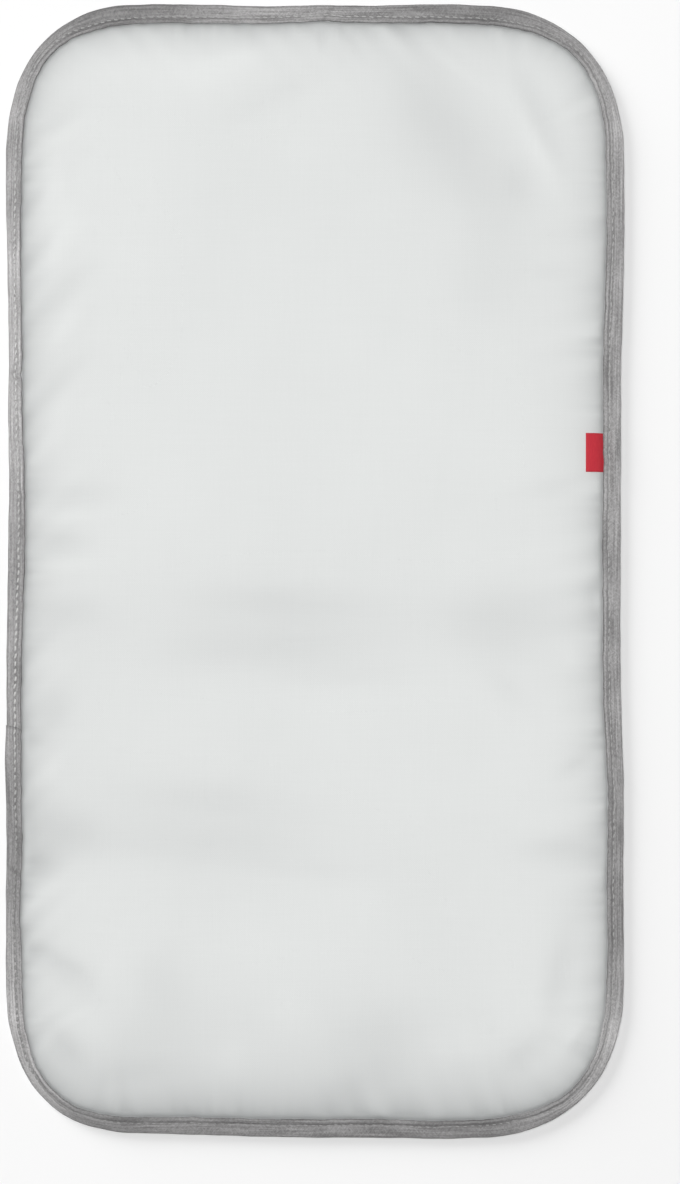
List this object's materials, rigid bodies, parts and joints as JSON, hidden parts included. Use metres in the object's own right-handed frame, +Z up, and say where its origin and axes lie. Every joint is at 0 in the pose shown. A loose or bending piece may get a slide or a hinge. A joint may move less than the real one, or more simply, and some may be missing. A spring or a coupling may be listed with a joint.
{
  "type": "pressing cloth",
  "caption": "Padded white pressing cloth with rounded corners, a topstitched grey bound edge and a small folded ribbon label that lifts at its root.",
  "frame": {"origin": "middle of the cloth's outline, on the table it lies on", "axes": "+X across the cloth towards the label's edge, +Y along the cloth, +Z up out of its face"},
  "size_m": [0.4, 0.7324, 0.0167],
  "materials": {
    "cotton_face": "plain-woven white cotton, matt",
    "cotton_back": "plain-woven white cotton, matt",
    "wadding": "bonded fibre wadding",
    "binding_tape": "grey woven bias tape, slight sheen",
    "thread": "light grey spun sewing thread",
    "ribbon": "red woven ribbon, plain"
  },
  "bodies": {
    "pad": {"face_cloth": "cotton_face", "wadding": "wadding", "back_cloth": "cotton_back", "edge_binding": "binding_tape", "needle_thread": "thread", "bobbin_thread": "thread", "label_tail": "ribbon"},
    "label": {"label_flap": "ribbon"}
  },
  "joints": [
    {"name": "label_lift", "type": "hinge", "parent": "pad", "child": "label", "pos_m": [0.1851, 0.07655, 0.00701], "axis": [0, 1, 0], "range_deg": [0, 120]}
  ]
}
